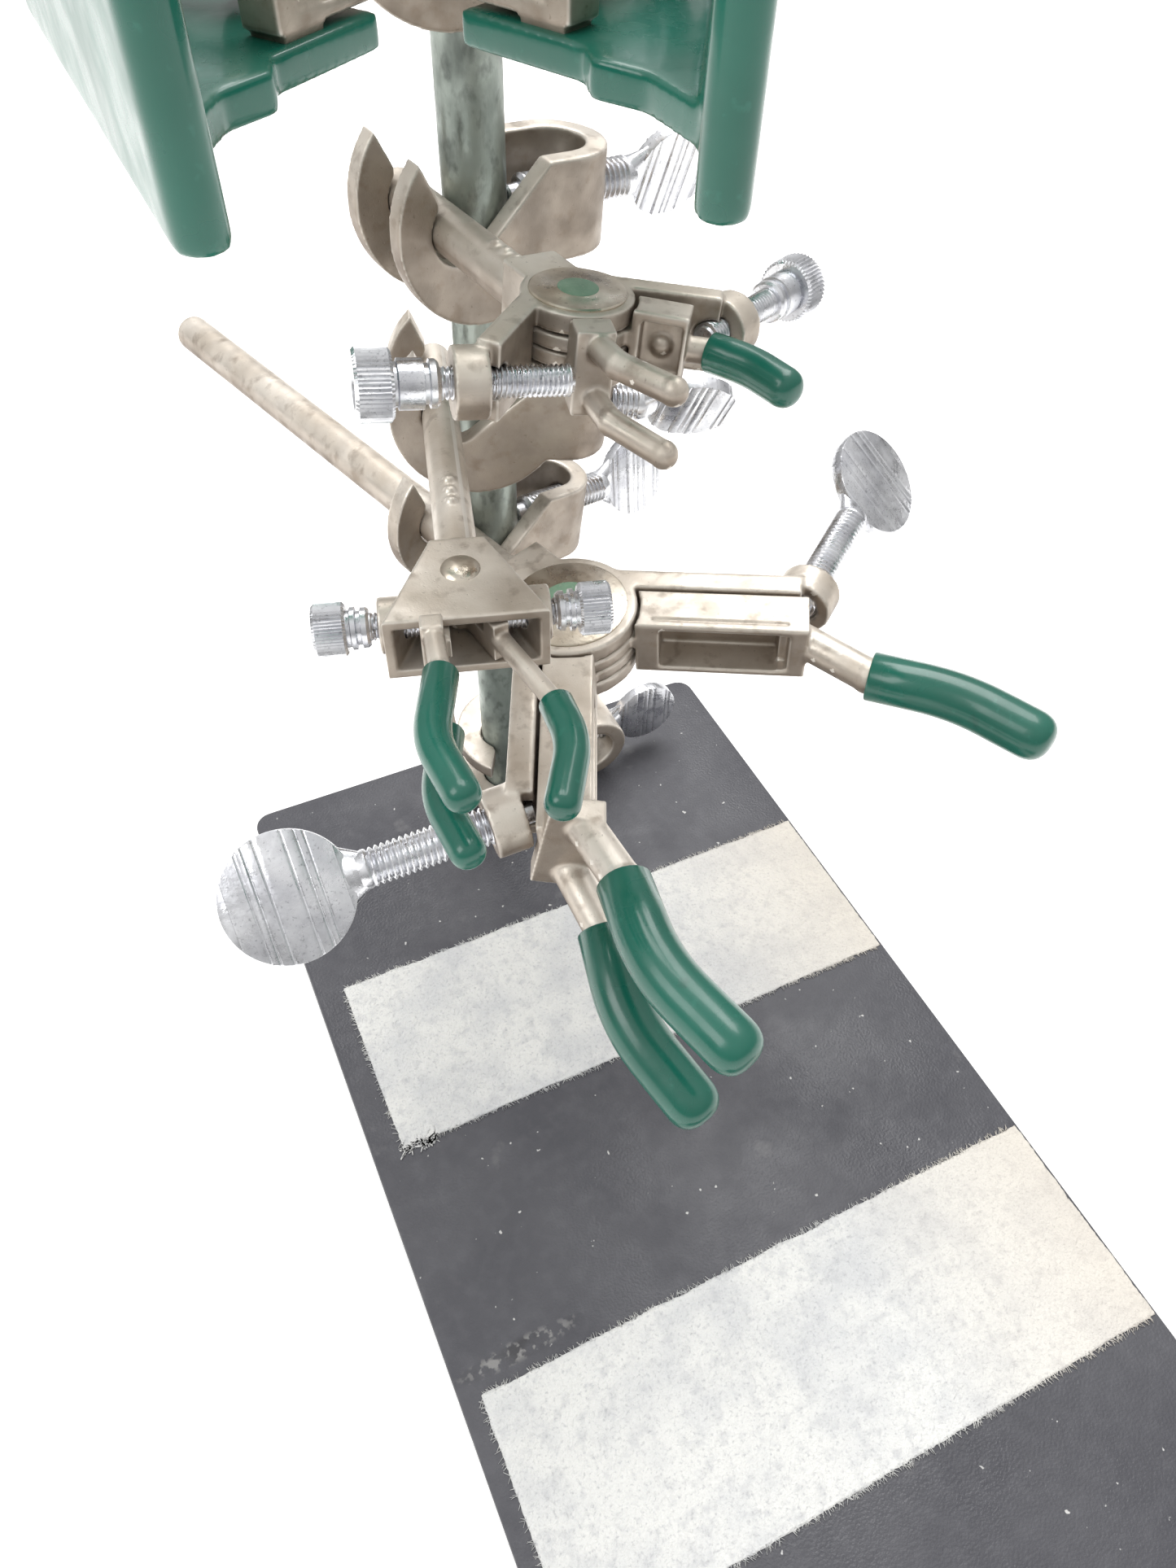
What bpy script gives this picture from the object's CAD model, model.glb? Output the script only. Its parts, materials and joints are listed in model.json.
import bpy
import json
import math
import random
from mathutils import Matrix, Vector, noise


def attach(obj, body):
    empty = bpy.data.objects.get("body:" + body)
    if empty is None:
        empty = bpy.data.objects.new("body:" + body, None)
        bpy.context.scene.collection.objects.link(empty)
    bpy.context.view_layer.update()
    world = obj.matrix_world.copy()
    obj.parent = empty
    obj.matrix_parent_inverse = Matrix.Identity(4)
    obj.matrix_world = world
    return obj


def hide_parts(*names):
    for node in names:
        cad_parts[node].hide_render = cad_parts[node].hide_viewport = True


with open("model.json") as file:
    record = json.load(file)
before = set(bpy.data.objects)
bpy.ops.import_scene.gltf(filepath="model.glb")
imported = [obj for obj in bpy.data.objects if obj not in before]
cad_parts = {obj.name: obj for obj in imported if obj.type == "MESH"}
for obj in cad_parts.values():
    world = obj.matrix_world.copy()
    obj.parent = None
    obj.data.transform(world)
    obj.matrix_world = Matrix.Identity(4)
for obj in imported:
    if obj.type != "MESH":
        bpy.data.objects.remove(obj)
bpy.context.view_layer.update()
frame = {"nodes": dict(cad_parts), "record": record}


# ---- Studio: camera, floor and light ----
# The stand is on a white sweep, seen steeply from the front left.
# A large soft box hangs overhead. The horizon is white to the camera and grey to the metal,
# which shades it.
MM = 0.001


def deselect():
    for chosen in bpy.context.selected_objects:
        chosen.select_set(False)


def node(tree, kind, inputs=None, **settings):
    made = tree.nodes.new("ShaderNode" + kind)
    for setting, value in settings.items():
        setattr(made, setting, value)
    for socket, value in (inputs or {}).items():
        if isinstance(value, bpy.types.NodeSocket):
            tree.links.new(value, made.inputs[socket])
        else:
            made.inputs[socket].default_value = value
    return made


EYE = Vector((-79.1, -215.0, 278.8)) * MM
FORWARD = Vector((0.2915, 0.579, -0.7614)).normalized()
RIGHT = Vector((0.9041, -0.4267, 0.0217)).normalized()
UP = RIGHT.cross(FORWARD)
lens = bpy.data.cameras.new("studio_camera")
lens.sensor_fit = "HORIZONTAL"
lens.sensor_width = 36
lens.lens = 33.92
lens.clip_start = 0.005
camera = bpy.data.objects.new("studio_camera", lens)
bpy.context.scene.collection.objects.link(camera)
camera.matrix_world = Matrix((
    (RIGHT.x, UP.x, -FORWARD.x, EYE.x),
    (RIGHT.y, UP.y, -FORWARD.y, EYE.y),
    (RIGHT.z, UP.z, -FORWARD.z, EYE.z),
    (0, 0, 0, 1)))
bpy.context.scene.camera = camera
bpy.context.scene.view_settings.view_transform = "Standard"

deselect()
bpy.ops.mesh.primitive_plane_add(size=6, location=(0, 0, 0))
sweep = bpy.context.object
sweep.name = "studio_floor"
paper = bpy.data.materials.new("studio_paper")
paper.use_nodes = True
for socket, value in (("Base Color", (0.93, 0.925, 0.915, 1)), ("Roughness", 0.9),
                      ("Emission Color", (1, 0.995, 0.985, 1)), ("Emission Strength", 0.42)):
    paper.node_tree.nodes["Principled BSDF"].inputs[socket].default_value = value
sweep.data.materials.append(paper)

room = bpy.data.worlds.new("studio_room")
room.use_nodes = True
bpy.context.scene.world = room
sky = room.node_tree
direction = node(sky, "TexCoord")
height = node(sky, "SeparateXYZ", {0: direction.outputs["Generated"]})
glow = node(sky, "MapRange", {0: height.outputs["Z"], "From Min": -0.05, "From Max": 0.8,
                              "To Min": 0.2, "To Max": 0.85})
seen = node(sky, "LightPath").outputs["Is Camera Ray"]
backdrop = node(sky, "Mix", {0: seen, 2: glow.outputs[0], 3: 1.0})
sky.links.new(backdrop.outputs[0], sky.nodes["Background"].inputs["Strength"])
sky.nodes["Background"].inputs["Color"].default_value = (1.0, 0.995, 0.985, 1)

LIT_POINT = Vector((0, 0, 0.15))
for name, where, size, power in (("soft_box", (0.3, 0.45, 1.25), 0.9, 13),
                                 ("side_box", (-0.9, -0.1, 0.9), 0.6, 4)):
    lamp = bpy.data.lights.new(name, "AREA")
    lamp.shape = "SQUARE"
    lamp.size = size
    lamp.energy = power
    box = bpy.data.objects.new(name, lamp)
    bpy.context.scene.collection.objects.link(box)
    box.location = where
    box.rotation_euler = (LIT_POINT - Vector(where)).to_track_quat("-Z", "Y").to_euler()


# ---- Base plate ----
# Flat steel plate, its corners and top edges rounded and its hole tapped for the rod.
# It is sprayed with a dark pebbled paint that is scuffed and dusted with white specks.
def group(name, inputs, outputs):
    made = bpy.data.node_groups.new(name, "ShaderNodeTree")
    for socket, value in inputs.items():
        made.interface.new_socket(socket, in_out="INPUT", socket_type="NodeSocketFloat").default_value = value
    for socket in outputs:
        made.interface.new_socket(socket, in_out="OUTPUT", socket_type="NodeSocketFloat")
    return made, made.nodes.new("NodeGroupInput").outputs, made.nodes.new("NodeGroupOutput").inputs


# Patches: a mask of cloudy spots of a chosen size and spread
patches, ask, give = group("patches", {"Scale": 100, "Detail": 3, "Low": 0.45, "High": 0.6, "Stretch": 1},
                           ["Mask"])
spot_place = node(patches, "TexCoord")
spot_size = node(patches, "CombineXYZ", {"X": 1, "Y": 1, "Z": ask["Stretch"]})
spot_spread = node(patches, "VectorMath", {0: spot_place.outputs["Object"], 1: spot_size.outputs[0]},
                   operation="MULTIPLY")
spot_noise = node(patches, "TexNoise", {"Vector": spot_spread.outputs[0], "Scale": ask["Scale"],
                                        "Detail": ask["Detail"]})
spot_mask = node(patches, "MapRange", {0: spot_noise.outputs[0], 1: ask["Low"], 2: ask["High"]})
patches.links.new(spot_mask.outputs[0], give["Mask"])

# Rubbed edges: a mask of the corners that hands and bench rub bright
rubbed, ask, give = group("rubbed_edges", {"Low": 0.52, "High": 0.6}, ["Mask"])
corner = node(rubbed, "NewGeometry")
corner_mask = node(rubbed, "MapRange", {0: corner.outputs["Pointiness"], 1: ask["Low"], 2: ask["High"]})
rubbed.links.new(corner_mask.outputs[0], give["Mask"])


def linear(red, green, blue):
    def one(value):
        value /= 255
        return value / 12.92 if value <= 0.04045 else ((value + 0.055) / 1.055) ** 2.4

    return (one(red), one(green), one(blue), 1.0)


def finish(name, metallic, roughness, **sockets):
    made = bpy.data.materials.new(name)
    made.use_nodes = True
    shader = made.node_tree.nodes["Principled BSDF"]
    shader.inputs["Metallic"].default_value = metallic
    shader.inputs["Roughness"].default_value = roughness
    for socket, value in sockets.items():
        shader.inputs[socket.replace("_", " ")].default_value = value
    return made, made.node_tree, shader.inputs


def spots(tree, scale, low, high, detail=3, stretch=1):
    made = tree.nodes.new("ShaderNodeGroup")
    made.node_tree = patches
    for socket, value in (("Scale", scale), ("Detail", detail), ("Low", low), ("High", high),
                          ("Stretch", stretch)):
        made.inputs[socket].default_value = value
    return made.outputs["Mask"]


def edges(tree, low, high):
    made = tree.nodes.new("ShaderNodeGroup")
    made.node_tree = rubbed
    made.inputs["Low"].default_value = low
    made.inputs["High"].default_value = high
    return made.outputs["Mask"]


def blend(tree, mask, under, over, share=1.0):
    if share != 1.0:
        mask = node(tree, "Math", {0: mask, 1: share}, operation="MULTIPLY").outputs[0]
    return node(tree, "Mix", {0: mask, 6: under, 7: over}, data_type="RGBA").outputs[2]


def level(tree, mask, low, high):
    return node(tree, "MapRange", {0: mask, 3: low, 4: high}).outputs[0]


def relief(tree, shader, heights, distance):
    total = None
    for mask, share in heights:
        part = node(tree, "Math", {0: mask, 1: share}, operation="MULTIPLY").outputs[0]
        total = part if total is None else node(tree, "Math", {0: total, 1: part}).outputs[0]
    bump = node(tree, "Bump", {"Height": total, "Distance": distance, "Strength": 1.0})
    tree.links.new(bump.outputs[0], shader["Normal"])


paint, tree, shader = finish("base_paint", 0.0, 0.45)
coat = blend(tree, spots(tree, 25, 0.35, 0.65), linear(74, 74, 80), linear(86, 86, 91))
coat = blend(tree, spots(tree, 260, 0.45, 0.7, 5), coat, linear(98, 98, 103), 0.35)
coat = blend(tree, spots(tree, 75, 0.66, 0.72, 6), coat, linear(128, 127, 128), 0.35)
coat = blend(tree, spots(tree, 420, 0.735, 0.76, 2), coat, linear(215, 214, 212), 0.9)
# A streak of torn glue beside the front tape: its own frame runs along the streak
streak = node(tree, "Mapping", {"Vector": node(tree, "TexCoord").outputs["Object"]}, vector_type="TEXTURE")
streak.inputs["Location"].default_value = (-0.060, -0.1529, 0.008)
streak.inputs["Rotation"].default_value = (0, 0, math.radians(2))
streak.inputs["Scale"].default_value = (0.017, 0.0026, 1)
flat_away = node(tree, "VectorMath", {0: streak.outputs[0], 1: (1, 1, 0)}, operation="MULTIPLY")
away = node(tree, "VectorMath", {0: flat_away.outputs[0]}, operation="LENGTH").outputs["Value"]
close = node(tree, "MapRange", {0: away, 1: 1.0, 2: 0.5}).outputs[0]
torn = node(tree, "Math", {0: close, 1: spots(tree, 520, 0.5, 0.58, 6)}, operation="MULTIPLY").outputs[0]
smear = node(tree, "Math", {0: close, 1: spots(tree, 160, 0.42, 0.6, 6)}, operation="MULTIPLY").outputs[0]
coat = blend(tree, smear, coat, linear(58, 57, 60), 0.8)
coat = blend(tree, torn, coat, linear(150, 149, 147), 0.75)
tree.links.new(blend(tree, edges(tree, 0.56, 0.66), coat, linear(140, 138, 136), 0.6), shader["Base Color"])
tree.links.new(level(tree, spots(tree, 60, 0.4, 0.6), 0.36, 0.55), shader["Roughness"])
relief(tree, shader, [(spots(tree, 1500, 0.3, 0.7, 2), 0.6),
                      (spots(tree, 420, 0.735, 0.76, 2), 0.5)], 0.00012)


BODY = {n: b for b, ns in frame["record"]["behaviour"]["bodies"].items() for n in ns}


def activate(piece):
    deselect()
    piece.select_set(True)
    bpy.context.view_layer.objects.active = piece


def merged_copy(source, name):
    piece = bpy.data.objects.new(name, frame["nodes"][source].data.copy())
    bpy.context.scene.collection.objects.link(piece)
    piece.data.materials.clear()
    activate(piece)
    bpy.ops.object.mode_set(mode="EDIT")
    bpy.ops.mesh.select_all(action="SELECT")
    bpy.ops.mesh.remove_doubles(threshold=0.000002)
    bpy.ops.object.mode_set(mode="OBJECT")
    return piece


def apply_modifiers(piece):
    activate(piece)
    for modifier in list(piece.modifiers):
        bpy.ops.object.modifier_apply(modifier=modifier.name)


def hand_over(piece, material, *sources):
    piece.data.materials.clear()
    piece.data.materials.append(material)
    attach(piece, BODY[sources[0]])
    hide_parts(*sources)


plate = merged_copy("base_plate", "base_plate_painted")
flat_faces = plate.modifiers.new("flat_faces", "DECIMATE")
flat_faces.decimate_type = "DISSOLVE"
flat_faces.angle_limit = math.radians(1)
round_over = plate.modifiers.new("round_over", "BEVEL")
round_over.width = 0.9 * MM
round_over.segments = 3
round_over.limit_method = "ANGLE"
round_over.angle_limit = math.radians(50)
apply_modifiers(plate)
bpy.ops.object.shade_smooth_by_angle(angle=math.radians(35))
hand_over(plate, paint, "base_plate")


# ---- Support rod ----
# Galvanised steel bar, threaded into the plate and chamfered at the top.
# Its zinc has gone grey green, with dark blotches where clamps have been screwed on.
PLATE_T = 8
ROD_D = 12.7
ROD_L = 600
STUD_R = 5
STUD_L = 6
ROD_CHAMFER = 1


def turned(name, steps, sides=48):
    """A part turned about Z, from a list of heights and radii in millimetres."""
    deselect()
    height, radius = steps[0]
    bpy.ops.mesh.primitive_circle_add(vertices=sides, radius=radius * MM, fill_type="NGON",
                                      location=(0, 0, height * MM))
    piece = bpy.context.object
    piece.name = name
    bpy.ops.object.mode_set(mode="EDIT")
    bpy.ops.mesh.select_mode(type="FACE")
    bpy.ops.mesh.select_all(action="SELECT")
    for next_height, next_radius in steps[1:]:
        bpy.ops.mesh.extrude_region_move(
            TRANSFORM_OT_translate={"value": (0, 0, (next_height - height) * MM)})
        share = next_radius / radius
        bpy.ops.transform.resize(value=(share, share, 1), center_override=(0, 0, next_height * MM))
        height, radius = next_height, next_radius
    bpy.ops.mesh.select_all(action="SELECT")
    bpy.ops.mesh.remove_doubles(threshold=0.000001)
    bpy.ops.mesh.normals_make_consistent(inside=False)
    bpy.ops.object.mode_set(mode="OBJECT")
    bpy.ops.object.transform_apply(location=True, rotation=True, scale=True)
    return piece


zinc, tree, shader = finish("galvanised_steel", 0.6, 0.45)
coat = blend(tree, spots(tree, 60, 0.35, 0.65, 5, 0.35), linear(134, 143, 136), linear(172, 180, 172))
coat = blend(tree, spots(tree, 150, 0.5, 0.72, 7, 0.5), coat, linear(88, 95, 90), 0.75)
coat = blend(tree, spots(tree, 420, 0.55, 0.75, 6, 0.6), coat, linear(58, 62, 60), 0.6)
tree.links.new(coat, shader["Base Color"])
tree.links.new(level(tree, spots(tree, 160, 0.4, 0.65), 0.3, 0.55), shader["Roughness"])
relief(tree, shader, [(spots(tree, 900, 0.3, 0.7), 0.5),
                      (spots(tree, 1500, 0.2, 0.8, 2, 0.15), 0.5)], 0.00005)

rod = turned("support_rod_bar", [(PLATE_T - STUD_L, STUD_R), (PLATE_T, STUD_R), (PLATE_T, ROD_D / 2)]
             + [(PLATE_T + ROD_L * k / 12, ROD_D / 2) for k in range(1, 12)]
             + [(PLATE_T + ROD_L - ROD_CHAMFER, ROD_D / 2),
                (PLATE_T + ROD_L, ROD_D / 2 - ROD_CHAMFER)], 96)
activate(rod)
bpy.ops.object.shade_smooth_by_angle(angle=math.radians(30))
hand_over(rod, zinc, "support_rod")


# ---- Cloth tapes ----
# Two strips of white cloth tape stuck across the plate. Their cut edges are fuzzy,
# the glue shows through as grey mottling, and the back strip's near corner is frayed.
tape_cloth, tree, shader = finish("cloth_tape", 0.0, 0.85)
coat = blend(tree, spots(tree, 60, 0.42, 0.62, 4), linear(240, 240, 237), linear(221, 222, 223), 0.9)
coat = blend(tree, spots(tree, 420, 0.5, 0.72, 5), coat, linear(200, 201, 204), 0.55)
coat = blend(tree, spots(tree, 1300, 0.55, 0.75, 3), coat, linear(176, 177, 181), 0.55)
along = node(tree, "TexCoord")
across = node(tree, "SeparateXYZ", {0: along.outputs["Object"]})
warm = node(tree, "MapRange", {0: across.outputs["X"], 1: 0.02, 2: 0.076, 3: 0, 4: 0.5}).outputs[0]
tree.links.new(blend(tree, warm, coat, linear(228, 214, 194)), shader["Base Color"])
relief(tree, shader, [(spots(tree, 1100, 0.25, 0.75, 4), 1.0),
                      (spots(tree, 2600, 0.3, 0.7, 2, 0.3), 0.6)], 0.0002)

TAPE_W = 50.8
PLATE_W = 152.4
random.seed(7)
for name, back, inset in (("back_tape", -48.2, 7), ("front_tape", -157.5, 4)):
    long = PLATE_W - inset
    deselect()
    bpy.ops.mesh.primitive_grid_add(x_subdivisions=240, y_subdivisions=84, size=1)
    strip = bpy.context.object
    strip.name = name + "_cloth"
    strip.data.transform(Matrix.Translation((inset / 2 * MM, (back - TAPE_W / 2) * MM, (PLATE_T + 0.05) * MM))
                         @ Matrix.Diagonal(((long - 1) * MM, (TAPE_W - 1) * MM, 1, 1)))
    low, high = (Vector([end(v.co[i] for v in strip.data.vertices) for i in (0, 1)]) for end in (min, max))
    for v in strip.data.vertices:
        fuzz = 0.00012 * random.uniform(-1, 1) + 0.0004 * noise.noise(v.co * 120)
        if v.co.x - low.x < 1e-6 or high.x - v.co.x < 1e-6:
            v.co.x += fuzz if v.co.x > 0 else abs(fuzz)
            if v.co.x > 0:
                v.co.x -= 0.0005
        elif v.co.y - low.y < 1e-6 or high.y - v.co.y < 1e-6:
            v.co.y += fuzz
        ripple = 0.00012 * noise.noise(v.co * 90) + 0.00005 * noise.noise(v.co * 700)
        v.co.z += max(0, ripple)
    strands, faces = [], []
    for k in range(900):
        edge_y, away = (low.y, -1) if k % 2 else (high.y, 1)
        root = Vector((random.uniform(low.x + 0.001, high.x - 0.002), edge_y,
                       strip.data.vertices[0].co.z + 0.00005))
        if k % 12 == 0:
            root = Vector((low.x, random.uniform(low.y, high.y), root.z))
        lean = random.uniform(-0.9, 0.9) + (math.pi if k % 12 == 0 else math.pi / 2 * away)
        along_strand = Vector((math.cos(lean), math.sin(lean), 0))
        wide = Vector((-along_strand.y, along_strand.x, 0)) * random.uniform(0.00003, 0.00007)
        reach = along_strand * random.uniform(0.0006, 0.0014)
        first = len(strands)
        strands += [root - reach * 0.4 - wide, root - reach * 0.4 + wide,
                    root + reach + wide * 0.4, root + reach - wide * 0.4]
        faces.append((first, first + 3, first + 2, first + 1))
    # the near left corner of the back strip is frayed into curls
    if name == "back_tape":
        for k in range(60):
            root = Vector((low.x + random.uniform(0, 0.009), low.y + random.uniform(-0.0016, 0.001),
                           strands[0].z))
            lean = random.uniform(0, math.tau)
            along_strand = Vector((math.cos(lean), math.sin(lean), 0)) * random.uniform(0.0008, 0.0026)
            wide = Vector((-along_strand.y, along_strand.x, 0)) * 0.12
            first = len(strands)
            strands += [root - wide, root + wide,
                        root + along_strand + wide * 0.5, root + along_strand - wide * 0.5]
            faces.append((first, first + 3, first + 2, first + 1))
    loose = bpy.data.meshes.new("loose_strands")
    loose.from_pydata(strands, [], faces)
    fringe = bpy.data.objects.new("loose_strands", loose)
    bpy.context.scene.collection.objects.link(fringe)
    activate(strip)
    fringe.select_set(True)
    bpy.ops.object.join()
    thick = strip.modifiers.new("cloth_thickness", "SOLIDIFY")
    thick.thickness = 0.28 * MM
    thick.offset = 1
    apply_modifiers(strip)
    bpy.ops.object.shade_smooth()
    hand_over(strip, tape_cloth, name)


# ---- Hook connectors ----
# Five die-cast nickel connectors: two hook plates joined by a closed end that is
# tapped for the thumbscrew. Their edges are rubbed bright and their hollows are stained.
def shift(x, y, z):
    return Matrix.Translation((x * MM, y * MM, z * MM))


def turn(degrees, axis):
    return Matrix.Rotation(math.radians(degrees), 4, axis)


SIDE_SWAP = Matrix.Diagonal((1, -1, 1, 1))


def place(piece, where):
    piece.data.transform(where)
    if where.determinant() < 0:
        piece.data.flip_normals()
    piece.data.update()


def own_copy(piece, name):
    made = bpy.data.objects.new(name, piece.data.copy())
    bpy.context.scene.collection.objects.link(made)
    return made


def join(pieces):
    activate(pieces[0])
    for piece in pieces:
        piece.select_set(True)
    bpy.ops.object.join()
    return pieces[0]


def cut(piece, tools):
    for tool in tools:
        carve = piece.modifiers.new("carve", "BOOLEAN")
        carve.operation = "DIFFERENCE"
        carve.object = tool
        apply_modifiers(piece)
        bpy.data.objects.remove(tool)


def block(size, where):
    """A milling cutter's path: a box of that size at that place, in millimetres."""
    deselect()
    bpy.ops.mesh.primitive_cube_add(size=1)
    made = bpy.context.object
    made.data.transform(where @ Matrix.Diagonal((size[0] * MM, size[1] * MM, size[2] * MM, 1)))
    return made


def dome(radius, where, flat=1.0):
    deselect()
    bpy.ops.mesh.primitive_uv_sphere_add(segments=24, ring_count=12, radius=radius * MM)
    made = bpy.context.object
    made.data.transform(where @ Matrix.Diagonal((1, 1, flat, 1)))
    return made


def cast(source, where, name, grain=0.4, rounding=5, raised=(), carved=()):
    """A casting: the sharp CAD shape in its own frame, raised and carved, then rounded by its die."""
    piece = merged_copy(source, name)
    piece.data.transform(where.inverted())
    if where.determinant() < 0:
        piece.data.flip_normals()
    cut(piece, carved)
    if raised:
        join([piece] + list(raised))
    skin = piece.modifiers.new("skin", "REMESH")
    skin.mode = "VOXEL"
    skin.voxel_size = grain * MM
    skin.use_smooth_shade = True
    ease = piece.modifiers.new("ease", "SMOOTH")
    ease.factor = 0.5
    ease.iterations = rounding
    apply_modifiers(piece)
    bpy.ops.object.shade_smooth()
    return piece


nickel, tree, shader = finish("nickel_casting", 0.6, 0.42)
facing = node(tree, "SeparateXYZ", {0: node(tree, "TexCoord").outputs["Normal"]}).outputs["Z"]
upward = node(tree, "MapRange", {0: facing, 1: -0.15, 2: 0.6}).outputs[0]
bright = blend(tree, spots(tree, 70, 0.35, 0.65, 4), linear(234, 226, 215), linear(208, 197, 183))
stained = blend(tree, spots(tree, 90, 0.35, 0.65, 5), linear(158, 145, 132), linear(124, 111, 99))
coat = blend(tree, upward, stained, bright)
coat = blend(tree, spots(tree, 260, 0.55, 0.72, 6), coat, linear(134, 117, 100), 0.5)
coat = blend(tree, spots(tree, 1200, 0.68, 0.76, 3), coat, linear(96, 84, 72), 0.4)
coat = blend(tree, edges(tree, 0.47, 0.42), coat, linear(84, 72, 62), 0.6)
tree.links.new(blend(tree, edges(tree, 0.52, 0.57), coat, linear(238, 232, 223), 0.75), shader["Base Color"])
tree.links.new(level(tree, spots(tree, 180, 0.35, 0.65), 0.34, 0.55), shader["Roughness"])
relief(tree, shader, [(spots(tree, 420, 0.2, 0.8, 4), 0.5), (spots(tree, 1300, 0.66, 0.72, 3), -0.4),
                      (spots(tree, 2500, 0.2, 0.8, 2), 0.25)], 0.00006)

SEAT_R = 6.6
SLIP = 0.05
GAP = 0.3
LARGE_ROD = 10
SMALL_ROD = 8.5
UTILITY_ROD = 8
DROOP = 8
SMALL_DROOP = 3


def beside(rod_d):
    return ROD_D / 2 + rod_d / 2 + GAP


def station(height, heading, rod_d):
    return shift(0, 0, height) @ turn(heading, "Z") @ shift(0, -beside(rod_d), 0)


def hung(rod_d, droop):
    return shift(0, SEAT_R - rod_d / 2 - SLIP, 0) @ turn(-droop, "X")


LARGE_PLACE = station(112, -73.7, LARGE_ROD)
SMALL_PLACE = station(187, -82, SMALL_ROD)
UTILITY_PLACE = station(147, -106.5, UTILITY_ROD)
ANGLE_PLACE = station(238, -104.5, SMALL_ROD)
SPARE_PLACE = shift(0, 0, 23.5) @ turn(-90, "Z") @ turn(90, "Y")
# For each connector: its place, its clamp's rod, its droop and how its screw's wing is turned
CONNECTORS = {
    "angle": (ANGLE_PLACE @ hung(SMALL_ROD, DROOP), SMALL_ROD, DROOP, 20),
    "small": (SMALL_PLACE @ hung(SMALL_ROD, SMALL_DROOP), SMALL_ROD, SMALL_DROOP, 20),
    "utility": (UTILITY_PLACE @ hung(UTILITY_ROD, DROOP), UTILITY_ROD, DROOP, 30),
    "large": (LARGE_PLACE @ hung(LARGE_ROD, DROOP), LARGE_ROD, DROOP, -15),
    "spare": (SPARE_PLACE, 0, 0, 90),
}
grooves = [block((0.9, 1.2, 30), shift(x, 37, 0)) for x in (-5.2, -3.4, 3.4, 5.2)]
connector = cast("spare_connector", SPARE_PLACE, "connector_casting", 0.4, 6, (), grooves)
for name, (where, *_) in CONNECTORS.items():
    hook = own_copy(connector, name + "_connector_cast")
    place(hook, where)
    hand_over(hook, nickel, name + "_connector")
bpy.data.objects.remove(connector)


# ---- Thumbscrews ----
# Bright zinc screws with a rolled thread, a dog point and a round stamped wing
# with pairs of pressed lines. Five hold the connectors and two set the large clamp's jaws.
screw_metal, tree, shader = finish("bright_screw", 1.0, 0.25)
coat = blend(tree, spots(tree, 120, 0.35, 0.65, 4), linear(238, 239, 242), linear(212, 213, 218))
coat = blend(tree, spots(tree, 1500, 0.6, 0.72, 3), coat, linear(150, 151, 156), 0.6)
tree.links.new(coat, shader["Base Color"])
tree.links.new(level(tree, spots(tree, 300, 0.35, 0.65, 4), 0.2, 0.42), shader["Roughness"])
relief(tree, shader, [(spots(tree, 900, 0.3, 0.7, 4), 1.0)], 0.00003)


THREAD_R = 3.95
PITCH = 1.25
DOG_R = 2.4
WING_T = 3
LINE_DEPTH = 0.55


def threaded(start, end, radius, pitch):
    """The heights and radii of a shank long enough for its thread, as steps for turning."""
    count = int((end - start) / pitch * 6)
    return [(start + (end - start) * k / count, radius) for k in range(count + 1)]


def roll_thread(piece, start, end, radius, pitch, depth):
    for v in piece.data.vertices:
        z = v.co.z / MM
        reach = math.hypot(v.co.x, v.co.y) / MM
        if start - 1e-4 <= z <= end + 1e-4 and reach > radius * 0.9:
            phase = (z / pitch - math.atan2(v.co.y, v.co.x) / math.tau) % 1
            ease = min(1, (z - start) / pitch, (end - z) / pitch)
            share = 1 - depth * abs(2 * phase - 1) ** 1.5 * max(0, ease) / radius
            v.co.x *= share
            v.co.y *= share


def round_wing(radius, thick, lines):
    """A stamped disc on edge: its rim is rounded and pairs of lines are pressed in both faces."""
    deselect()
    bpy.ops.mesh.primitive_cylinder_add(vertices=72, radius=radius * MM, depth=thick * MM)
    disc = bpy.context.object
    bpy.ops.object.mode_set(mode="EDIT")
    for line in lines:
        for side in (-0.4, 0, 0.4):
            bpy.ops.mesh.select_all(action="SELECT")
            bpy.ops.mesh.bisect(plane_co=((line + side) * MM, 0, 0), plane_no=(1, 0, 0))
    bpy.ops.object.mode_set(mode="OBJECT")
    for v in disc.data.vertices:
        if min(abs(v.co.x / MM - line) for line in lines) < 0.02:
            v.co.z *= 1 - LINE_DEPTH / thick
    rim = disc.modifiers.new("rim", "BEVEL")
    rim.width = 0.5 * MM
    rim.segments = 2
    rim.limit_method = "ANGLE"
    rim.angle_limit = math.radians(60)
    apply_modifiers(disc)
    disc.data.transform(Matrix.Rotation(math.radians(90), 4, "Y"))
    return disc


def thumbscrew(name, length, wing_r, lines):
    thread_end = length - wing_r - 2.5
    shank = turned(name, [(0, 2.0), (0.4, DOG_R), (3, DOG_R), (3, 3.2)]
                   + threaded(3.6, thread_end, THREAD_R, PITCH) + [(thread_end + 1.5, 3.6)], 36)
    roll_thread(shank, 3.6, thread_end, THREAD_R, PITCH, 0.8)
    deselect()
    bpy.ops.mesh.primitive_cone_add(vertices=36, radius1=3.6 * MM, radius2=6.2 * MM, depth=4.4 * MM,
                                    location=(0, 0, (thread_end + 2.3) * MM))
    neck = bpy.context.object
    bpy.ops.object.transform_apply(location=True)
    for v in neck.data.vertices:
        if v.co.z > (thread_end + 2) * MM:
            v.co.x *= 0.22
    bpy.ops.object.mode_set(mode="EDIT")
    bpy.ops.mesh.select_all(action="SELECT")
    bpy.ops.mesh.normals_make_consistent(inside=False)
    bpy.ops.object.mode_set(mode="OBJECT")
    disc = round_wing(wing_r, WING_T, lines)
    disc.data.transform(shift(0, 0, length))
    join([shank, neck, disc])
    activate(shank)
    bpy.ops.object.shade_smooth_by_angle(angle=math.radians(32))
    return shank


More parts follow.
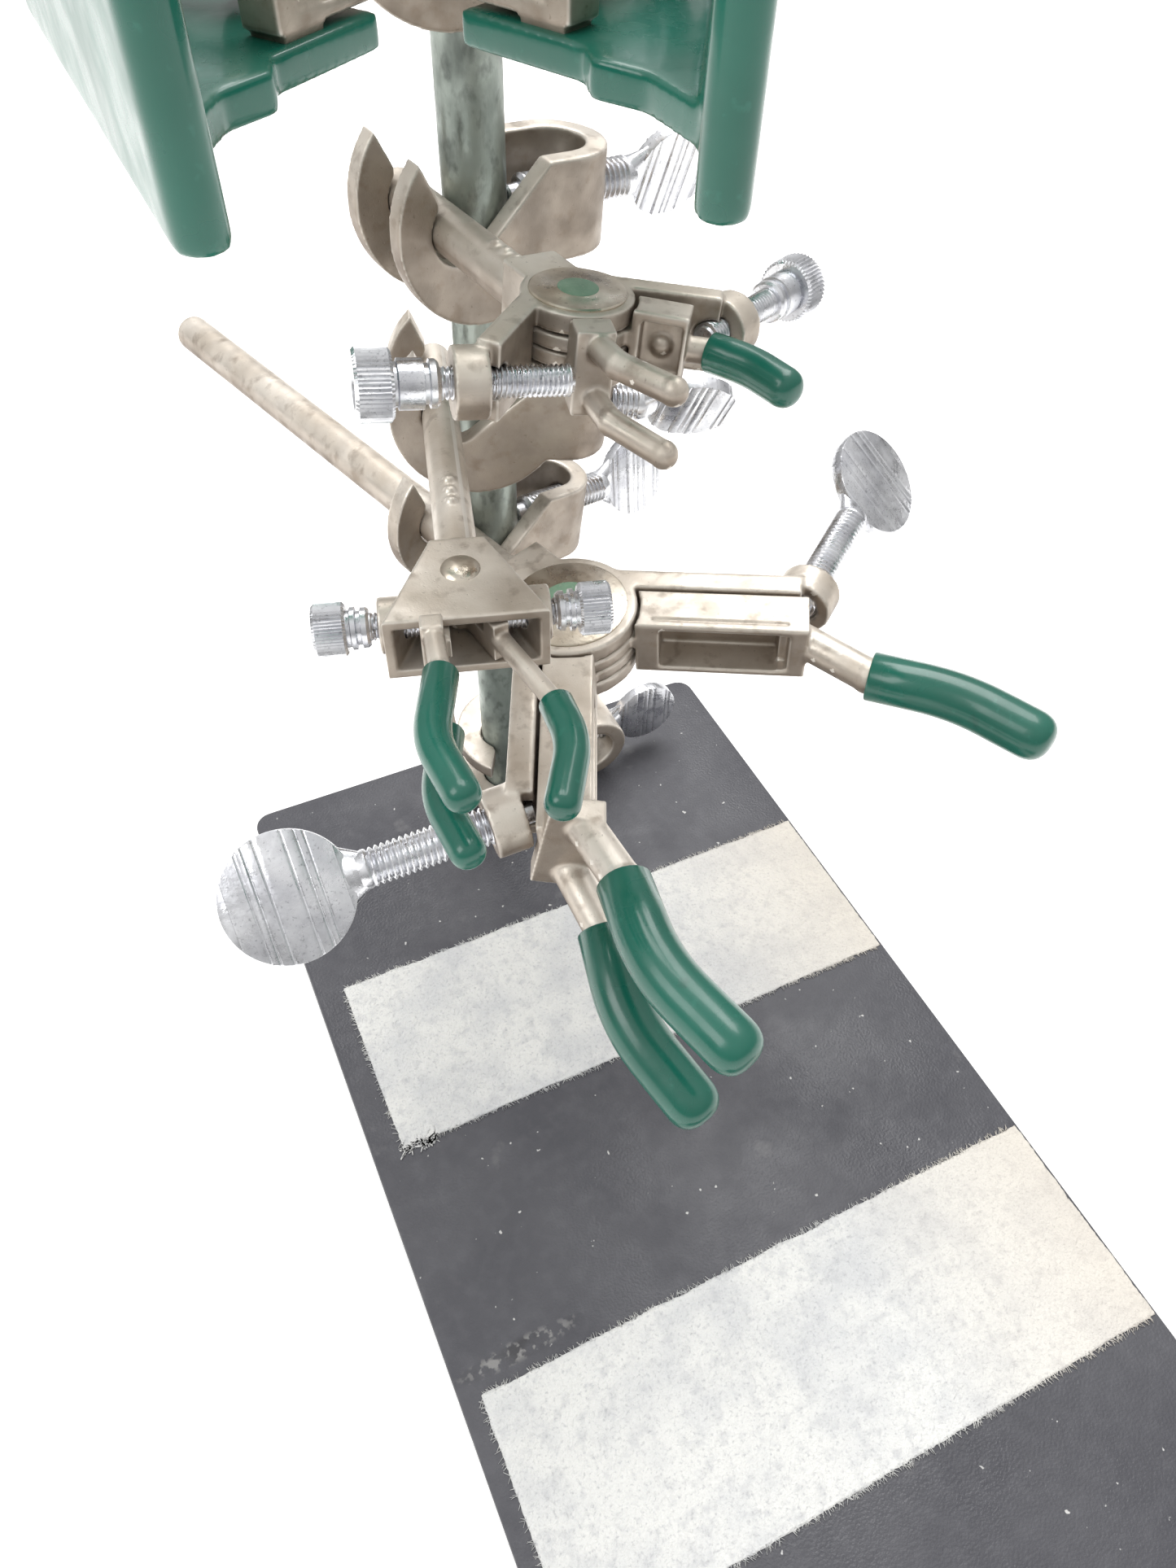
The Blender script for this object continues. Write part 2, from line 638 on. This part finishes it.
def line_pairs(radius, count):
    step = 2 * radius / (count + 0.6)
    middles = [(k - (count - 1) / 2) * step for k in range(count)]
    return [m + side for m in middles for side in (-0.75, 0.75)]


def along_y(roll):
    return turn(roll, "Y") @ turn(-90, "X")


connector_screw = thumbscrew("connector_thumbscrew", 41.5, 10.5, line_pairs(10.5, 5))
for name, (where, rod_d, droop, roll) in CONNECTORS.items():
    if name == "spare":
        tip = ROD_D / 2 + GAP
    else:
        slope = math.radians(droop)
        far_side = beside(rod_d) - (SEAT_R - rod_d / 2 - SLIP) + ROD_D / 2
        tip = far_side / math.cos(slope) + DOG_R * math.tan(slope) + GAP
    screw = own_copy(connector_screw, name + "_connector_thumbscrew")
    place(screw, where @ shift(0, tip, 0) @ along_y(roll))
    hand_over(screw, screw_metal, name + "_connector_screw")
bpy.data.objects.remove(connector_screw)


# ---- Large three-prong clamp ----
# A die-cast yoke on a long rod carries two jaws on one pivot, each with its own
# adjusting screw. The single jaw and the fork's prongs have green vinyl sleeves.
LARGE = dict(hub_x=43.5, hub_r=15, hub_h=15, arm_l=50.5, arm_a=42, jaw_w=11, arm_t=5.5)
LARGE_TILT = LARGE_PLACE @ turn(6, "X")
LARGE_JAW_A = 42
SCREW_A = 110
ARM_GAP = 0.7


def jaw_place(place_of_clamp, sizes, angle, side):
    swap = SIDE_SWAP if side < 0 else Matrix()
    return place_of_clamp @ shift(sizes["hub_x"], 0, 0) @ swap @ turn(angle, "Z")


def screw_place(place_of_clamp, sizes, angle, side, tip_r):
    arm_y = sizes["jaw_w"] / 2 + ARM_GAP + sizes["arm_t"] / 2
    a = math.radians(sizes["arm_a"])
    lug = (sizes["arm_l"] * math.cos(a) - arm_y * math.sin(a),
           sizes["arm_l"] * math.sin(a) + arm_y * math.cos(a))
    j = math.radians(angle)
    lean = math.radians(SCREW_A - 90 - angle)
    reach = (-math.sin(j) * lug[0] + math.cos(j) * lug[1] - sizes["jaw_w"] / 2) / math.cos(lean)
    reach -= tip_r * abs(math.tan(lean)) + GAP
    swap = SIDE_SWAP if side < 0 else Matrix()
    return (place_of_clamp @ shift(sizes["hub_x"], 0, 0) @ swap @ shift(lug[0], lug[1], 0)
            @ turn(SCREW_A - 90, "Z") @ shift(0, -reach, 0))


vinyl, tree, shader = finish("green_vinyl", 0.0, 0.3, Coat_Weight=0.35, Coat_Roughness=0.12)
coat = blend(tree, spots(tree, 45, 0.35, 0.65, 3), linear(15, 92, 76), linear(22, 104, 87))
coat = blend(tree, spots(tree, 500, 0.62, 0.75, 4), coat, linear(48, 124, 108), 0.35)
coat = blend(tree, spots(tree, 160, 0.68, 0.74, 5), coat, linear(10, 70, 58), 0.4)
tree.links.new(coat, shader["Base Color"])
tree.links.new(level(tree, spots(tree, 120, 0.35, 0.65), 0.24, 0.38), shader["Roughness"])
relief(tree, shader, [(spots(tree, 110, 0.2, 0.8, 2), 1.0), (spots(tree, 1200, 0.3, 0.7, 3), 0.06)], 0.00008)

pin_metal, tree, shader = finish("nickel_pin", 1.0, 0.3)
coat = blend(tree, spots(tree, 180, 0.35, 0.65, 4), linear(226, 217, 203), linear(196, 184, 167))
coat = blend(tree, spots(tree, 1100, 0.62, 0.72, 4), coat, linear(132, 117, 100), 0.5)
tree.links.new(coat, shader["Base Color"])
tree.links.new(level(tree, spots(tree, 260, 0.35, 0.65), 0.24, 0.42), shader["Roughness"])
relief(tree, shader, [(spots(tree, 1300, 0.2, 0.8, 3), 1.0)], 0.00003)

dot_paint, tree, shader = finish("green_dot", 0.0, 0.4)
coat = blend(tree, spots(tree, 300, 0.35, 0.65, 4), linear(122, 158, 132), linear(142, 176, 150))
coat = blend(tree, spots(tree, 1300, 0.6, 0.7, 3), coat, linear(168, 182, 166), 0.6)
tree.links.new(coat, shader["Base Color"])
relief(tree, shader, [(spots(tree, 1200, 0.2, 0.8, 3), 1.0)], 0.00003)


def smooth_path(points, round_off, fine=8):
    """The bar's line seen from above: straight runs with each corner rounded off over that length."""
    points = [Vector(p) for p in points]
    found = [points[0]]
    for a, b, c in zip(points, points[1:], points[2:]):
        start = b + (a - b).normalized() * min(round_off, 0.45 * (a - b).length)
        end = b + (c - b).normalized() * min(round_off, 0.45 * (c - b).length)
        for k in range(fine + 1):
            t = k / fine
            found.append(start * (1 - t) ** 2 + b * 2 * t * (1 - t) + end * t * t)
    found.append(points[-1])
    return found


def dipped_sleeve(name, path, outer_d, inner_d):
    """A vinyl sleeve over a finger: open lip at the start, an even bend, and a round closed tip."""
    heading = (Vector(path[2]) - Vector(path[1])).normalized()
    first = Vector(path[1]) + heading * inner_d * 0.6 - heading * outer_d * 0.42
    line = smooth_path([tuple(first)] + [tuple(p) for p in path[2:]], outer_d * 0.75)
    radius = outer_d / 2
    last = (line[-1] - line[-2]).normalized()
    tip = [(line[-1] + last * radius * math.sin(a) ** 0.8, math.cos(a) ** 0.75) for a in
           [math.radians(d) for d in (8, 18, 30, 42, 54, 65, 74, 81, 86, 89.2)]]
    lip = line[0] - heading * 0.1
    beads = [(lip, 0.86), (lip + heading * 0.12, 0.95), (lip + heading * 0.4, 1.0)]
    beads += [(p, 1.0) for p in line[1:] if (p - lip).dot(heading) > 0.6] + tip
    bend = bpy.data.curves.new(name, "CURVE")
    bend.dimensions = "3D"
    bend.bevel_depth = radius * MM
    bend.bevel_resolution = 10
    bend.use_fill_caps = True
    spline = bend.splines.new("POLY")
    spline.points.add(len(beads) - 1)
    for point, (where, share) in zip(spline.points, beads):
        point.co = (where[0] * MM, where[1] * MM, 0, 1)
        point.radius = share
    sleeve = bpy.data.objects.new(name, bend)
    bpy.context.scene.collection.objects.link(sleeve)
    activate(sleeve)
    bpy.ops.object.convert(target="MESH")
    sleeve = bpy.context.object
    bpy.ops.object.mode_set(mode="EDIT")
    bpy.ops.mesh.select_all(action="SELECT")
    bpy.ops.mesh.remove_doubles(threshold=0.000005)
    bpy.ops.mesh.normals_make_consistent(inside=False)
    bpy.ops.object.mode_set(mode="OBJECT")
    bpy.ops.object.shade_smooth_by_angle(angle=math.radians(50))
    return sleeve


def prong(path, side, gap, spread):
    return shift(path[0][0], 0, side * gap / 2) @ turn(-spread * side, "Y") @ shift(-path[0][0], 0, 0)


LARGE_SINGLE = [(50, 0), (65, -10.5), (83, -15), (96, -24)]
LARGE_FORK = [(57, -1), (71, -9), (89, -14), (102, -25.5)]

yoke = cast("large_yoke", LARGE_TILT, "large_yoke_cast", 0.45, 6)
place(yoke, LARGE_TILT)
hand_over(yoke, nickel, "large_yoke")


def pivot_and_dot(name, place_of_clamp, sizes, dot_share):
    """The headed pin through the hub, its broad thin top washer, and the painted dot on that."""
    where = place_of_clamp @ shift(sizes["hub_x"], 0, 0)
    hub_r = sizes["hub_r"]
    top = sizes["hub_h"] / 2
    pin = turned(name + "_pivot_pin", [(-top - 1.6, 4.2), (-top - 1.2, 4.8), (-top, 5), (-top, 3), (top, 3),
                                       (top, hub_r * 0.86), (top + 0.2, hub_r * 0.86),
                                       (top + 0.4, hub_r * 0.83), (top + 0.4, hub_r * 0.5),
                                       (top + 0.5, hub_r * 0.48)], 72)
    spot = turned(name + "_cap_dot", [(top + 0.3, hub_r * dot_share), (top + 0.55, hub_r * dot_share),
                                      (top + 0.66, hub_r * (dot_share - 0.04))], 48)
    for piece, material, source in ((pin, pin_metal, "_pivot"), (spot, dot_paint, "_cap")):
        activate(piece)
        bpy.ops.object.shade_smooth_by_angle(angle=math.radians(30))
        place(piece, where)
        hand_over(piece, material, name + source)


pivot_and_dot("large", LARGE_TILT, LARGE, 0.42)

single = jaw_place(LARGE_TILT, LARGE, LARGE_JAW_A, 1)
fork = jaw_place(LARGE_TILT, LARGE, LARGE_JAW_A, -1)
hollow = [block((26, 9, 11), shift(33, -2, 0)), block((30, 0.9, 1.2), shift(33, -3.2, 7.2))]
jaw = cast("large_single_jaw", single, "large_single_jaw_cast", 0.4, 6, (), hollow)
place(jaw, single)
hand_over(jaw, nickel, "large_single_jaw")
jaw = cast("large_fork_jaw", fork, "large_fork_jaw_cast", 0.4, 6)
place(jaw, fork)
hand_over(jaw, nickel, "large_fork_jaw")

sleeve = dipped_sleeve("large_single_sleeve_vinyl", LARGE_SINGLE, 10.5, 7.5)
place(sleeve, single)
hand_over(sleeve, vinyl, "large_single_sleeve")
pair = [dipped_sleeve("large_fork_sleeves_vinyl", LARGE_FORK, 10.5, 7.5) for _ in range(2)]
for sleeve, side in zip(pair, (-1, 1)):
    place(sleeve, fork @ turn(14, "X") @ prong(LARGE_FORK, side, 15, 7))
hand_over(join(pair), vinyl, "large_fork_sleeves")

clamp_screw = thumbscrew("clamp_thumbscrew", 50, 13, line_pairs(13, 6))
for name, side, roll in (("large_single_screw", 1, -45), ("large_fork_screw", -1, -52)):
    screw = own_copy(clamp_screw, name + "_thumbscrew")
    place(screw, screw_place(LARGE_TILT, LARGE, LARGE_JAW_A, side, DOG_R) @ along_y(roll))
    hand_over(screw, screw_metal, name)
bpy.data.objects.remove(clamp_screw)


# ---- Small three-prong clamp ----
# The same build at a smaller size: knurled screws set the jaws, one finger is
# sleeved and the fork's two prongs are bare nickel.
SMALL = dict(hub_x=53, hub_r=9.5, hub_h=13, arm_l=24, arm_a=52, jaw_w=6.5, arm_t=4)
SMALL_TILT = SMALL_PLACE @ turn(-5, "X")
SMALL_SINGLE = [(17, 0), (23, 0.5), (30, -2), (35.5, -7)]
SMALL_SINGLE_A = 46
SMALL_FORK_A = 22
KNURL_R = 2.5
KNURL_PITCH = 0.8
KNURL_COUNT = 96


def knurled_screw(name, length, collar_l, head_r=5.5):
    head = length - 6
    neck = head - collar_l
    shank = turned(name, [(0, 1.9), (0.5, 2.1)] + threaded(0.6, neck, KNURL_R, KNURL_PITCH)
                   + [(neck, 3.2), (neck + 0.5, 3.6), (neck + 1.4, 3.6), (neck + 1.6, 3.0),
                      (neck + 2.2, 3.0), (neck + 2.4, 3.8), (head - 0.8, 3.8), (head - 0.6, 3.3),
                      (head, 3.3)], 36)
    roll_thread(shank, 0.6, neck, KNURL_R, KNURL_PITCH, 0.5)
    grip = turned(name + "_grip", [(head, 3.2), (head, head_r - 0.6), (head + 0.5, head_r),
                                   (head + 5.3, head_r), (head + 5.8, head_r - 0.5),
                                   (head + 5.8, 3.6), (head + 5.4, 3.2)], KNURL_COUNT)
    for v in grip.data.vertices:
        if math.hypot(v.co.x, v.co.y) > (head_r - 0.2) * MM:
            step = round(math.atan2(v.co.y, v.co.x) / (math.tau / KNURL_COUNT))
            if step % 2:
                v.co.x *= 0.94
                v.co.y *= 0.94
    join([shank, grip])
    activate(shank)
    bpy.ops.object.shade_smooth_by_angle(angle=math.radians(28))
    return shank


marks = [dome(1.3, shift(x, 0, 4.0), 0.8) for x in (27, 30.5, 34)]
yoke = cast("small_yoke", SMALL_TILT, "small_yoke_cast", 0.35, 6, marks)
place(yoke, SMALL_TILT)
hand_over(yoke, nickel, "small_yoke")
pivot_and_dot("small", SMALL_TILT, SMALL, 0.36)
single = jaw_place(SMALL_TILT, SMALL, SMALL_SINGLE_A, 1)
fork = jaw_place(SMALL_TILT, SMALL, SMALL_FORK_A, -1)
jaw = cast("small_single_jaw", single, "small_single_jaw_cast", 0.3, 5, [dome(2, shift(14.8, 0.6, 0))],
           [block((7, 4.6, 9.2), shift(14.8, -2.3, 0))])
place(jaw, single)
hand_over(jaw, nickel, "small_single_jaw")
jaw = cast("small_fork_jaw", fork, "small_fork_jaw_cast", 0.3, 5)
place(jaw, fork)
hand_over(jaw, nickel, "small_fork_jaw")
sleeve = dipped_sleeve("small_single_sleeve_vinyl", SMALL_SINGLE, 6.5, 4.3)
place(sleeve, single)
hand_over(sleeve, vinyl, "small_single_sleeve")
knurled = knurled_screw("knurled_long", 34, 7)
for name, angle, side in (("small_single_screw", SMALL_SINGLE_A, 1), ("small_fork_screw", SMALL_FORK_A, -1)):
    screw = own_copy(knurled, name + "_knurled")
    place(screw, screw_place(SMALL_TILT, SMALL, angle, side, KNURL_R) @ along_y(0))
    hand_over(screw, screw_metal, name)
bpy.data.objects.remove(knurled)


# ---- Utility clamp ----
# A folded steel head, open at the front, is riveted round two cranked fingers.
# Small knurled screws in its sides press the fingers together.
LEFT_FINGER = [(15, -6), (27, -5.2), (41, -7.8), (52, -4)]
RIGHT_FINGER = [(12, 5.6), (29, 13.2), (38, 15), (50, 11.5)]
RIVET_X = 71
marks = [dome(1.3, shift(x, 0, 3.8), 0.8) for x in (40, 43.5, 47)]
collar = turned("neck_line", [(59.2, 3.9), (59.2, 4.4), (60, 4.4), (60, 3.9)], 48)
collar.data.transform(turn(90, "Y"))
head = cast("utility_body", UTILITY_PLACE, "utility_body_folded", 0.3, 4, marks + [collar])
place(head, UTILITY_PLACE)
hand_over(head, nickel, "utility_body")
rivet = turned("utility_rivet_dome", [(-7.6, 0.8), (-7.4, 2.2), (-6.9, 3.2), (-6.5, 3.6), (-6.5, 2.4),
                                      (6.5, 2.4), (6.5, 3.6), (6.9, 3.3), (7.3, 2.4), (7.55, 1.2),
                                      (7.6, 0.3)], 48)
activate(rivet)
bpy.ops.object.shade_smooth_by_angle(angle=math.radians(50))
place(rivet, UTILITY_PLACE @ shift(RIVET_X, 0, 0))
hand_over(rivet, pin_metal, "utility_rivet")
for name in ("utility_left_jaw", "utility_right_jaw"):
    jaw = cast(name, UTILITY_PLACE, name + "_cast", 0.3, 5)
    place(jaw, UTILITY_PLACE)
    hand_over(jaw, nickel, name)
pair = [dipped_sleeve("utility_left_sleeves_vinyl", LEFT_FINGER, 6, 3.6) for _ in range(2)]
for sleeve, side in zip(pair, (-1, 1)):
    place(sleeve, UTILITY_PLACE @ shift(RIVET_X, 0, side * 7))
hand_over(join(pair), vinyl, "utility_left_sleeves")
sleeve = dipped_sleeve("utility_right_sleeve_vinyl", RIGHT_FINGER, 6, 3.6)
place(sleeve, UTILITY_PLACE @ shift(RIVET_X, 0, 0))
hand_over(sleeve, vinyl, "utility_right_sleeve")
knurled = knurled_screw("knurled_short", 20, 4, 4.8)
for name, tip, side in (("utility_left_screw", 6.8, -1), ("utility_right_screw", 6.3, 1)):
    screw = own_copy(knurled, name + "_knurled")
    swap = SIDE_SWAP if side < 0 else Matrix()
    place(screw, UTILITY_PLACE @ shift(RIVET_X + 6, side * tip, 0) @ swap @ along_y(0))
    hand_over(screw, screw_metal, name)
bpy.data.objects.remove(knurled)


# ---- Angle-jaw clamp ----
# Two long angle-section jaws, dipped whole in green vinyl, on a small yoke.
# Short knurled screws set them.
ANGLE = dict(hub_x=32, hub_r=9.5, hub_h=13, arm_l=22, arm_a=52, jaw_w=6.5, arm_t=4)
ANGLE_JAW_A = 40
COAT_A = 180 - 16.6
yoke = cast("angle_yoke", ANGLE_PLACE, "angle_yoke_cast", 0.35, 6)
place(yoke, ANGLE_PLACE)
hand_over(yoke, nickel, "angle_yoke")
pivot_and_dot("angle", ANGLE_PLACE, ANGLE, 0.36)
for name, side in (("angle_left", -1), ("angle_right", 1)):
    where = ANGLE_PLACE @ shift(ANGLE["hub_x"], 0, 0) @ (SIDE_SWAP if side < 0 else Matrix())
    jaw = cast(name + "_jaw", where, name + "_jaw_cast", 0.35, 5)
    place(jaw, where)
    hand_over(jaw, nickel, name + "_jaw")
    web_root = turn(-COAT_A, "Z") @ turn(ANGLE_JAW_A, "Z") @ shift(25, 3, -9.5)
    dipped = cast(name + "_coat", where @ turn(COAT_A, "Z"), name + "_coat_vinyl", 0.6, 14,
                  [block((22, 15, 4.9), web_root)])
    place(dipped, where @ turn(COAT_A, "Z"))
    hand_over(dipped, vinyl, name + "_coat")
knurled = knurled_screw("knurled_angle", 27, 2.6)
for name, side in (("angle_left_screw", -1), ("angle_right_screw", 1)):
    screw = own_copy(knurled, name + "_knurled")
    place(screw, screw_place(ANGLE_PLACE, ANGLE, ANGLE_JAW_A, side, KNURL_R) @ along_y(0))
    hand_over(screw, screw_metal, name)
bpy.data.objects.remove(knurled)
